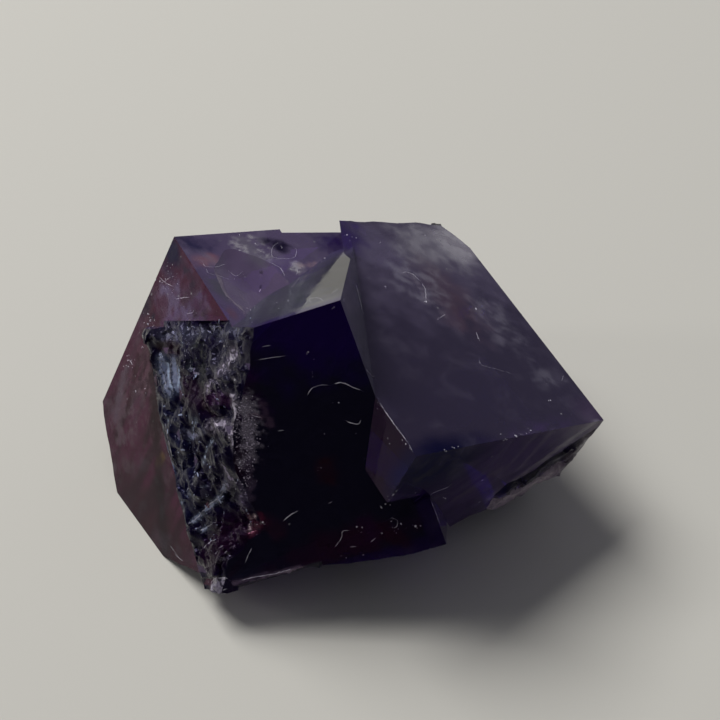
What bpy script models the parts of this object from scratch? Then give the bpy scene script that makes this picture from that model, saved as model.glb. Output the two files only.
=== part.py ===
"""A purple fluorite cluster: interpenetrating cubes of two orientations, grown as one piece.

The host cubes and the twin cubes share one corner-to-corner diagonal, as fluorite twins do.
Meshes are in millimetres, which keeps the Booleans exact, under an empty that brings them to
metres, +Z up. The cluster rests on the flat break where it came off its rock.
"""
import math
from collections import namedtuple

import bmesh
import bpy
from mathutils import Euler, Matrix, Vector, noise

METRES_PER_MM = 0.001
NAME = "fluorite_crystal"

# Places, in mm: x to the right, y away, z up from the resting face.
HOST_CORNER = Vector((7.13, -20.11, 23.64))     # nearest corner of the right-hand cube
HOST_TURN = (9.68, 21.29, 33.59)                # degrees, XYZ, of the host cubes' edges
TWIN_CORNER = Vector((-3.54, 15.05, 7.08))      # top corner of the centre cube, in host mm
TWIN_DIAGONAL = Vector((1.0, 1.0, 1.0))         # the twins turn half round on this diagonal

# Host cubes, as low and high corners along the host edges (right, back, up). Each runs down
# past the resting face, to a depth of its own so that no two bottoms lie in one plane.
RIGHT_CUBE = ((0.0, 0.0, -42.0), (26.9, 33.9, 0.0))
LEFT_CUBE = ((-9.43, 8.6, -42.7), (24.5, 34.45, -1.8))
BACK_TERRACES = (((7.5, 29.0, -43.4), (22.8, 35.3, -8.6)),
                 ((19.0, 4.2, -44.1), (27.6, 22.7, -6.3)))

# Twin cubes, along the twin edges (up, right, back).
CENTRE_CUBE = ((-26.6, -25.0, 0.0), (0.0, 0.0, 21.5))
LOW_STEP = ((-28.2, -12.5, 0.12), (-22.9, 1.7, 16.0))
BACK_CUBE = ((-22.0, -20.5, 14.0), (-2.0, -8.0, 30.0))

# Where the right-hand cube stops, along the twin edges: its top layer starts at the side of
# the centre cube, and behind that at a growth edge; nothing of it shows below the centre cube,
# and its lower front corner is missing where it would stand proud of that cube.
TOP_LAYER_SIDE = ((-9.0, -40.0, -5.0), (30.0, -0.25, 19.3))
TOP_LAYER_EDGE = ((-9.0, -40.0, 19.2), (30.0, -1.0, 60.0))
UNDER_CENTRE_CUBE = ((-70.0, -40.0, -20.0), (-26.3, 1.5, 24.0))
FRONT_CORNER = ((-40.0, -20.0, -14.0), (-10.0, 1.5, 0.15))
FRONT_CORNER_TOP = -7.1                         # along the host's up edge
FRONT_CORNER_REACH = ((-20.0, -20.0, -60.0), (40.0, 40.0, FRONT_CORNER_TOP))

# Where the left-hand cube stops: at the centre cube's front, and at a notch in its back rim.
LEFT_FRONT = ((-60.0, -60.0, -30.0), (30.0, 30.0, 0.3))
RIM_NOTCH_CORNER = (4.3, 33.9, 0.0)
RIM_NOTCH = ((0.0, 0.0, -5.0), (12.0, 6.0, 3.0))
RIM_NOTCH_TURN = -4.5                           # degrees, on the host's up edge
SHELL_BREAK_MIDDLE = (-3.5, 25.3, 4.9)
SHELL_BREAK_RADII = (9.9, 14.8, 7.5)
SHELL_BREAK_WAVES = (0.03, 5.0)                 # unevenness: share of the radius, and how fine

# Where the centre cube stops: sideways and behind, along the host edges, and at its slanted
# left end.
CENTRE_LEFT = ((-60.0, -40.0, -60.0), (-10.3, 60.0, 40.0))
CENTRE_BEHIND = ((-40.0, 34.2, -60.0), (40.0, 60.0, 40.0))
SLANT_POINT = (-1.4, -23.6, 14.0)
SLANT_OUTWARD = (-0.13, -0.73, 0.67)
SLANT_ALONG = (0.0, 0.67, 0.73)
SLANT = ((-40.0, -40.0, 0.0), (40.0, 40.0, 20.0))

# A broken surface: a point on it and two directions (outward, along it) in the frame of its
# cube, its size, and its lumps (seed, height, width); grain is the spacing of its points.
Break = namedtuple("Break", "point outward along size lumps grain thick", defaults=(1.15, 12.0))
LEFT_CORNER_BREAK = Break((-9.43, 30.4, -30.6), (-0.18, 0.60, -0.80), (0.0, 0.8, 0.6),
                          (34.0, 34.0), (3.1, 0.55, 5.0))
LEFT_FOOT_BREAK = Break((-9.43, 10.6, -28.6), (-0.10, -0.63, -0.78), (0.0, 0.78, -0.63),
                        (18.0, 18.0), (5.7, 0.4, 3.5))
LOW_STEP_BREAK = Break((-27.35, -7.2, 0.0), (-0.98, -0.155, -0.10), (0.0, 1.0, 0.0),
                       (26.0, 44.0), (4.9, 0.2, 2.6))
HOST_BREAKS = {
    "far_edge_break": Break((18.0, 32.4, 0.0), (0.13, 0.93, 0.36), (1.0, -0.13, 0.0),
                            (30.0, 12.0), (1.7, 0.45, 4.0)),
    "far_corner_break": Break((25.9, 29.6, 0.0), (0.80, 0.40, 0.45), (-0.45, 0.9, 0.0),
                              (14.0, 14.0), (4.4, 0.5, 3.0)),
    "lower_side_break": Break((22.3, 0.0, -4.95), (0.054, -0.997, -0.057), (-0.73, 0.0, -0.685),
                              (18.0, 16.0), (6.1, 0.16, 4.0), grain=1.6),
}
TWIN_BREAKS = {
    "underside_break": Break((-30.2, 0.0, 12.0), (-1.0, 0.0, 0.0), (0.0, 1.0, 0.0),
                             (60.0, 50.0), (8.8, 1.1, 6.0), grain=1.9, thick=40.0),
    "low_corner_chip": Break((-26.0, -23.2, 0.4), (-0.62, -0.55, -0.56), (0.0, 1.0, 0.0),
                             (5.0, 5.0), (9.9, 0.25, 1.1), grain=0.6),
    "low_ledge": Break((-26.0, -16.0, 0.0), (-0.75, 0.0, -0.66), (0.0, 1.0, 0.0),
                       (9.5, 3.0), (7.3, 0.12, 2.0), grain=0.7),
}

# The splintery break that ends the centre cube in the plane of the left-hand cube's side:
# flakes on a swell, hollowed in two places (x, y, depth, width squared).
SIDE_BREAK = Break((-9.63, 16.0, -13.0), (-1.0, 0.0, 0.0), (0.0, 1.0, 0.0),
                   (42.0, 40.0), (2.2, 0.5, 9.0), grain=1.0)
SIDE_FLAKES = (11.3, 0.55, 3.4)                 # seed, height, width
SIDE_HOLLOWS = ((9.0, -8.0, 1.5, 14.0), (-9.0, 4.0, 2.0, 18.0))
SIDE_REACH = ((-27.5, -25.25, -4.0), (0.6, 6.0, 26.0))

LUMP_DETAIL = (2.7, 0.45)                       # of the small lumps: finer by, lower by
FLAKE_TREAD = (3.1, 1.1)                        # of a flake's own depth: spread, share
FLAKE_TILT = (1.7, 0.6)                         # of the slope over it: spread, share

RESTING_CUT = ((-60.0, -60.0, -60.0), (60.0, 60.0, 0.0))    # takes off all below z = 0

WELD_DISTANCE = 0.0001

COLOUR = (0.022, 0.010, 0.062, 1.0)
ROUGHNESS = 0.08


def clear_scene():
    for old in list(bpy.data.objects):
        bpy.data.objects.remove(old, do_unlink=True)


def make_collections():
    parts = bpy.data.collections.new(NAME)
    tools = bpy.data.collections.new("cutters")
    bpy.context.scene.collection.children.link(parts)
    bpy.context.scene.collection.children.link(tools)
    return parts, tools


def make_scale():
    """The empty that every mesh hangs on, so that a millimetre in a mesh is a millimetre."""
    scale = bpy.data.objects.new("millimetres", None)
    scale.scale = (METRES_PER_MM,) * 3
    scale.empty_display_size = 10.0
    bpy.context.scene.collection.objects.link(scale)
    return scale


def host_frame():
    turn = Euler([math.radians(angle) for angle in HOST_TURN], "XYZ").to_matrix()
    return Matrix.Translation(HOST_CORNER) @ turn.to_4x4()


def twin_frame(host):
    half_turn = Matrix.Rotation(math.pi, 4, TWIN_DIAGONAL.normalized())
    return host @ Matrix.Translation(TWIN_CORNER) @ half_turn


def facing(frame, point, outward, along):
    """A frame at a point given in another frame, its z axis looking outward."""
    z = Vector(outward).normalized()
    x = Vector(along)
    x = (x - z * x.dot(z)).normalized()
    y = z.cross(x)
    turn = Matrix((x, y, z)).transposed().to_4x4()
    return frame @ Matrix.Translation(Vector(point)) @ turn


def new_object(name, shape, frame, collection):
    """Turn a mesh made in a frame of its own into an object, with its points where they lie."""
    bmesh.ops.transform(shape, matrix=frame, verts=shape.verts)
    mesh = bpy.data.meshes.new(name)
    shape.to_mesh(mesh)
    shape.free()
    thing = bpy.data.objects.new(name, mesh)
    thing.parent = bpy.data.objects["millimetres"]
    collection.objects.link(thing)
    return thing


def hide_tool(thing):
    thing.hide_render = True
    thing.display_type = "WIRE"
    return thing


def block(name, frame, low, high, collection):
    """A box between two corners given in mm along the axes of a frame."""
    size = [top - bottom for bottom, top in zip(low, high)]
    middle = [(top + bottom) / 2 for bottom, top in zip(low, high)]
    shape = bmesh.new()
    bmesh.ops.create_cube(shape, size=1.0)
    box_frame = frame @ Matrix.Translation(middle) @ Matrix.Diagonal((*size, 1.0))
    return new_object(name, shape, box_frame, collection)


def ball(name, frame, middle, radii, waves, collection):
    """An uneven ellipsoid that scoops out a shell-shaped break."""
    share, fineness = waves
    shape = bmesh.new()
    bmesh.ops.create_uvsphere(shape, u_segments=64, v_segments=40, radius=1.0)
    for point in shape.verts:
        point.co *= 1.0 + share * noise.noise(point.co * fineness)
    bmesh.ops.triangulate(shape, faces=shape.faces)
    ball_frame = frame @ Matrix.Translation(middle) @ Matrix.Diagonal((*radii, 1.0))
    return hide_tool(new_object(name, shape, ball_frame, collection))


def sheet(name, frame, broken, collection, relief=None):
    """A slab whose inner side is a broken surface, with relief(x, y) in mm along its z axis."""
    relief = relief or lumps(*broken.lumps)
    width, length = broken.size
    shape = bmesh.new()
    bmesh.ops.create_grid(shape, x_segments=round(width / broken.grain),
                          y_segments=round(length / broken.grain), size=0.5)
    for point in shape.verts:
        point.co.x *= width
        point.co.y *= length
        point.co.z = relief(point.co.x, point.co.y)
    bmesh.ops.triangulate(shape, faces=shape.faces)
    inner = list(shape.faces)
    grown = bmesh.ops.extrude_face_region(shape, geom=inner)
    for point in (item for item in grown["geom"] if isinstance(item, bmesh.types.BMVert)):
        point.co.z = broken.thick
    bmesh.ops.recalc_face_normals(shape, faces=shape.faces)
    face = facing(frame, broken.point, broken.outward, broken.along)
    return hide_tool(new_object(name, shape, face, collection))


def boolean(target, tool, operation):
    step = target.modifiers.new(tool.name, "BOOLEAN")
    step.operation = operation
    step.solver = "EXACT"
    step.object = tool
    hide_tool(tool)


def join(target, tool):
    boolean(target, tool, "UNION")


def cut(target, tool):
    boolean(target, tool, "DIFFERENCE")


def weld(target):
    """Joins the points that the cuts left all but on top of each other."""
    step = target.modifiers.new("weld", "WELD")
    step.merge_threshold = WELD_DISTANCE


def lumps(seed, height, size):
    """Relief of a rough break: soft lumps with sharper small ones on top."""
    def relief(x, y):
        place = Vector((x / size, y / size, seed))
        finer, lower = LUMP_DETAIL
        return height * (noise.noise(place) + lower * abs(noise.noise(place * finer)))
    return relief


def splinters(seed, height, size):
    """Relief of a splintery break: flat-topped flakes at uneven depths, with ribs between."""
    def relief(x, y):
        place = Vector((x / size, y / size, seed))
        nearest = noise.voronoi(place)[1][0]
        tread = FLAKE_TREAD[1] * noise.noise(nearest * FLAKE_TREAD[0])
        tilt = FLAKE_TILT[1] * noise.noise(place * FLAKE_TILT[0])
        return height * (tread + tilt)
    return relief


def make_material():
    material = bpy.data.materials.new("fluorite")
    material.use_nodes = True
    surface = material.node_tree.nodes["Principled BSDF"]
    surface.inputs["Base Color"].default_value = COLOUR
    surface.inputs["Roughness"].default_value = ROUGHNESS
    material.diffuse_color = COLOUR
    return material


def right_cube(host, twin, parts, tools):
    cube = block(NAME, host, *RIGHT_CUBE, parts)
    cut(cube, block("top_layer_side", twin, *TOP_LAYER_SIDE, tools))
    cut(cube, block("top_layer_edge", twin, *TOP_LAYER_EDGE, tools))
    corner = block("front_corner", twin, *FRONT_CORNER, tools)
    boolean(corner, block("front_corner_reach", host, *FRONT_CORNER_REACH, tools), "INTERSECT")
    cut(cube, corner)
    cut(cube, block("under_centre_cube", twin, *UNDER_CENTRE_CUBE, tools))
    return cube


def left_cube(host, twin, tools):
    cube = block("left_cube", host, *LEFT_CUBE, tools)
    cut(cube, block("left_front", twin, *LEFT_FRONT, tools))
    cut(cube, ball("shell_break", host, SHELL_BREAK_MIDDLE, SHELL_BREAK_RADII,
                   SHELL_BREAK_WAVES, tools))
    turn = Matrix.Rotation(math.radians(RIM_NOTCH_TURN), 4, "Z")
    notch = host @ Matrix.Translation(RIM_NOTCH_CORNER) @ turn
    cut(cube, block("rim_notch", notch, *RIM_NOTCH, tools))
    cut(cube, sheet("left_corner_break", host, LEFT_CORNER_BREAK, tools))
    cut(cube, sheet("left_foot_break", host, LEFT_FOOT_BREAK, tools))
    return cube


def centre_cube(host, twin, tools):
    cube = block("centre_cube", twin, *CENTRE_CUBE, tools)
    cut(cube, block("centre_left", host, *CENTRE_LEFT, tools))
    cut(cube, block("centre_behind", host, *CENTRE_BEHIND, tools))
    slant = facing(twin, SLANT_POINT, SLANT_OUTWARD, SLANT_ALONG)
    cut(cube, block("centre_slant", slant, *SLANT, tools))
    return cube


def low_step(twin, tools):
    step = block("low_step", twin, *LOW_STEP, tools)
    cut(step, sheet("low_step_break", twin, LOW_STEP_BREAK, tools))
    return step


def side_break(host, twin, tools):
    """The tool that breaks the centre cube's left end, kept to that end by a box."""
    flakes = splinters(*SIDE_FLAKES)
    swell = lumps(*SIDE_BREAK.lumps)

    def relief(x, y):
        hollows = sum(depth * math.exp(-((x - x0) ** 2 + (y - y0) ** 2) / spread)
                      for x0, y0, depth, spread in SIDE_HOLLOWS)
        return flakes(x, y) + swell(x, y) - hollows

    tool = sheet("side_break", host, SIDE_BREAK, tools, relief)
    boolean(tool, block("side_break_reach", twin, *SIDE_REACH, tools), "INTERSECT")
    return tool


def build():
    clear_scene()
    parts, tools = make_collections()
    make_scale()
    host = host_frame()
    twin = twin_frame(host)
    crystal = right_cube(host, twin, parts, tools)
    join(crystal, left_cube(host, twin, tools))
    join(crystal, centre_cube(host, twin, tools))
    join(crystal, low_step(twin, tools))
    join(crystal, block("back_cube", twin, *BACK_CUBE, tools))
    for number, (low, high) in enumerate(BACK_TERRACES, start=1):
        join(crystal, block(f"back_terrace_{number}", host, low, high, tools))
    cut(crystal, side_break(host, twin, tools))
    for frame, breaks in ((host, HOST_BREAKS), (twin, TWIN_BREAKS)):
        for name, broken in breaks.items():
            cut(crystal, sheet(name, frame, broken, tools))
    cut(crystal, block("resting_cut", Matrix.Identity(4), *RESTING_CUT, tools))
    weld(crystal)
    crystal.data.materials.append(make_material())


build()
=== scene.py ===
import math
import random

import bpy
import numpy as np
from mathutils import Euler, Matrix, Vector, kdtree, noise


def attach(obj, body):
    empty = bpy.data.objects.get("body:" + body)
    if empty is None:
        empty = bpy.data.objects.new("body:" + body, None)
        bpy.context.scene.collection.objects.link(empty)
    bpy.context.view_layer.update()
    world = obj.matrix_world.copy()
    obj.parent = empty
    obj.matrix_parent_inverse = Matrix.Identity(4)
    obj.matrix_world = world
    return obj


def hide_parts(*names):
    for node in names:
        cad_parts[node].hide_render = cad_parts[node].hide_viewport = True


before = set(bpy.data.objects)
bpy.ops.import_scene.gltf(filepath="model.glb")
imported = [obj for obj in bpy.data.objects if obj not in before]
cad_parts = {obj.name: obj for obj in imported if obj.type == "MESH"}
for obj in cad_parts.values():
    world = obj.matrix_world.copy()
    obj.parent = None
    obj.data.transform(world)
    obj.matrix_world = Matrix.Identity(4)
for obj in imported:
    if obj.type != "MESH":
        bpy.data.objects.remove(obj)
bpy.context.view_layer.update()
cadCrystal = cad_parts["fluorite_crystal"]
mm = 0.001

# the cubes' own axes, as the solid is built, in mm and degrees
hostCorner = (7.13, -20.11, 23.64)
hostTurn = (9.68, 21.29, 33.59)
twinCorner = (-3.54, 15.05, 7.08)

hostTilt = Euler([math.radians(angle) for angle in hostTurn], "XYZ").to_matrix().to_4x4()
halfTurn = Matrix.Rotation(math.pi, 4, Vector((1.0, 1.0, 1.0)).normalized())
toWorld = Matrix.Translation(Vector(hostCorner)) @ hostTilt
toHost = toWorld.inverted()
cubeFrames = {"host": toWorld, "twin": toWorld @ Matrix.Translation(Vector(twinCorner)) @ halfTurn}


def makeActive(*pieces):
    bpy.ops.object.select_all(action="DESELECT")
    for piece in pieces:
        piece.select_set(True)
    bpy.context.view_layer.objects.active = pieces[0]


studio = {
    "cameraPlace": (0.00165, -0.12279, 0.1396),
    "cameraTilt": 45.0,
    "lens": 79.2,
    "floorSize": 6.0,
    "floorColour": (0.575, 0.558, 0.505, 1.0),
    "horizon": 0.34,        # brightness of the room behind the piece, near the floor
    "nearSide": 0.012,      # on the viewer's side
    "overhead": 0.16,
}
studioLamps = {
    "windowPanel": {"place": (-0.48, 0.42, 0.90), "size": (0.60, 0.60), "power": 12.0},
    "sidePanel": {"place": (-0.85, 0.02, 0.30), "size": (0.12, 0.34), "power": 0.8},
}


def addCamera():
    bpy.ops.object.camera_add(location=studio["cameraPlace"],
                              rotation=(math.radians(studio["cameraTilt"]), 0, 0))
    camera = bpy.context.object
    camera.name = "camera"
    camera.data.lens = studio["lens"]
    camera.data.sensor_width = 36.0
    camera.data.clip_start = 0.01
    camera.data.clip_end = 20.0
    bpy.context.scene.camera = camera


def newMaterial(name):
    material = bpy.data.materials.new(name)
    material.use_nodes = True
    tree = material.node_tree
    return material, tree, tree.nodes["Principled BSDF"]


def addFloor():
    bpy.ops.mesh.primitive_plane_add(size=studio["floorSize"], location=(0, 0, -0.00002))
    floor = bpy.context.object
    floor.name = "floor"
    paint, tree, surface = newMaterial("floorPaper")
    setInputs(tree, surface, {"Base Color": studio["floorColour"], "Roughness": 0.9, "Specular IOR Level": 0.1})
    floor.data.materials.append(paint)


def addLamps():
    for name, lamp in studioLamps.items():
        place = Vector(lamp["place"])
        bpy.ops.object.light_add(type="AREA", location=place,
                                 rotation=place.to_track_quat("Z", "Y").to_euler())
        light = bpy.context.object
        light.name = name
        light.data.shape = "RECTANGLE"
        light.data.size, light.data.size_y = lamp["size"]
        light.data.energy = lamp["power"]


def setInputs(tree, node, inputs):
    for name, value in inputs.items():
        socket = node.inputs[name]
        if isinstance(value, bpy.types.NodeSocket):
            tree.links.new(value, socket)
        else:
            socket.default_value = value


def addNode(tree, kind, inputs=None, **settings):
    node = tree.nodes.new("ShaderNode" + kind)
    for name, value in settings.items():
        setattr(node, name, value)
    setInputs(tree, node, inputs or {})
    return node


def addMath(tree, operation, first, second=0.0, third=0.0):
    return addNode(tree, "Math", {0: first, 1: second, 2: third}, operation=operation).outputs[0]


def addRange(tree, value, low, high, toLow=0.0, toHigh=1.0, smooth=True):
    node = addNode(tree, "MapRange",
                   {"Value": value, "From Min": low, "From Max": high, "To Min": toLow, "To Max": toHigh},
                   interpolation_type="SMOOTHSTEP" if smooth else "LINEAR")
    return node.outputs["Result"]


def addMix(tree, factor, first, second):
    return addNode(tree, "Mix", {0: factor, 6: first, 7: second}, data_type="RGBA").outputs[2]


def addRoom():
    room = bpy.data.worlds.new("room")
    bpy.context.scene.world = room
    room.use_nodes = True
    tree = room.node_tree
    coords = addNode(tree, "TexCoord")
    split = addNode(tree, "SeparateXYZ", {0: coords.outputs["Generated"]})
    away = addRange(tree, split.outputs["Y"], -0.75, 0.6)
    low = addRange(tree, split.outputs["Z"], 0.12, 0.75, 1.0, 0.0)
    wall = addMath(tree, "MULTIPLY", away, low)
    wall = addMath(tree, "MULTIPLY", wall, studio["horizon"])
    above = addRange(tree, split.outputs["Z"], 0.2, 0.8, 0.0, studio["overhead"])
    glow = addMath(tree, "ADD", addMath(tree, "MAXIMUM", wall, above), studio["nearSide"])
    setInputs(tree, tree.nodes["Background"], {"Color": (0.93, 0.95, 1.08, 1.0), "Strength": glow})


addCamera()
addFloor()
addLamps()
addRoom()
print("studio ready")

# flat faces: which cube, the axis they look along, their place on it in mm, and their colour
# with, in the fourth number, how much pale veil runs through them
faceLooks = {
    "rightTop": ("host", 2, 0.0, (0.076, 0.058, 0.122, 0.12)),
    "leftTop": ("host", 2, -1.8, (0.26, 0.19, 0.38, 0.45)),
    "rightSide": ("host", 1, 0.0, (0.050, 0.018, 0.13, 0.2)),
    # the left side's red tint is a painted warm reflection laid over the crystal's own violet
    "leftSide": ("host", 0, -9.43, (0.12, 0.008, 0.06, 0.10)),
    "rightLeft": ("host", 0, 0.0, (0.02, 0.001, 0.03, 0.0)),
    "centreFront": ("twin", 2, 0.0, (0.022, 0.019, 0.045, 0.0)),
    "stepFront": ("twin", 2, 0.12, (0.035, 0.016, 0.10, 0.1)),
    "centreTop": ("twin", 0, 0.0, (0.055, 0.038, 0.14, 0.1)),
    "centreRight": ("twin", 1, 0.0, (0.08, 0.06, 0.15, 0.2)),
}
otherLooks = {"flat": (0.10, 0.06, 0.18, 0.4), "shell": (0.32, 0.23, 0.42, 0.3),
              "broken": (0.010, 0.006, 0.032, 0.0)}
lookNames = list(faceLooks) + list(otherLooks)
lookColours = np.array([look[3] for look in faceLooks.values()] + list(otherLooks.values()))
shell = {"middle": (-3.5, 25.3, -1.8), "reach": (11.0, 16.0, 2.5), "upward": 0.5}
# how well a face must line up to count as a cube's: cosines, and its place in mm
lineUp = {"named": 0.9995, "unnamed": 0.9998, "underside": -0.999, "place": 0.06}

# the crystal's mesh: the longest edge on each look and near the band, and the breaks' relief, in mm
grain = {
    "bandMiddle": (-9.5, 17.0, -13.0), "bandReach": (3.5, 17.0, 17.0),
    "bandEdge": 0.34,
    "edges": {"broken": 0.7, "rightTop": 0.56, "leftTop": 0.4, "rightSide": 0.5, "leftSide": 0.5,
              "rightLeft": 0.6, "centreFront": 0.5, "stepFront": 0.4, "centreTop": 0.34,
              "centreRight": 0.5, "shell": 0.5},
    "cuts": 8,              # how often long edges may be halved
    "chips": ((2.6, 0.20, 0.05), (1.1, 0.20, 0.05), (0.5, 0.08, 0.02)),      # cell, slope, dish
    "wander": {"size": 0.7, "reach": 0.9},
    "swell": {"size": 0.6, "height": 0.15},
    "easeIn": 0.7,
    "smoothAngle": 12.0,
}
ribbedPanel = {"middle": (-9.6, 26.0, -14.2), "reach": (1.6, 3.4, 2.6), "hush": 0.85, "ribs": 0.13, "size": 2.2}

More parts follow.
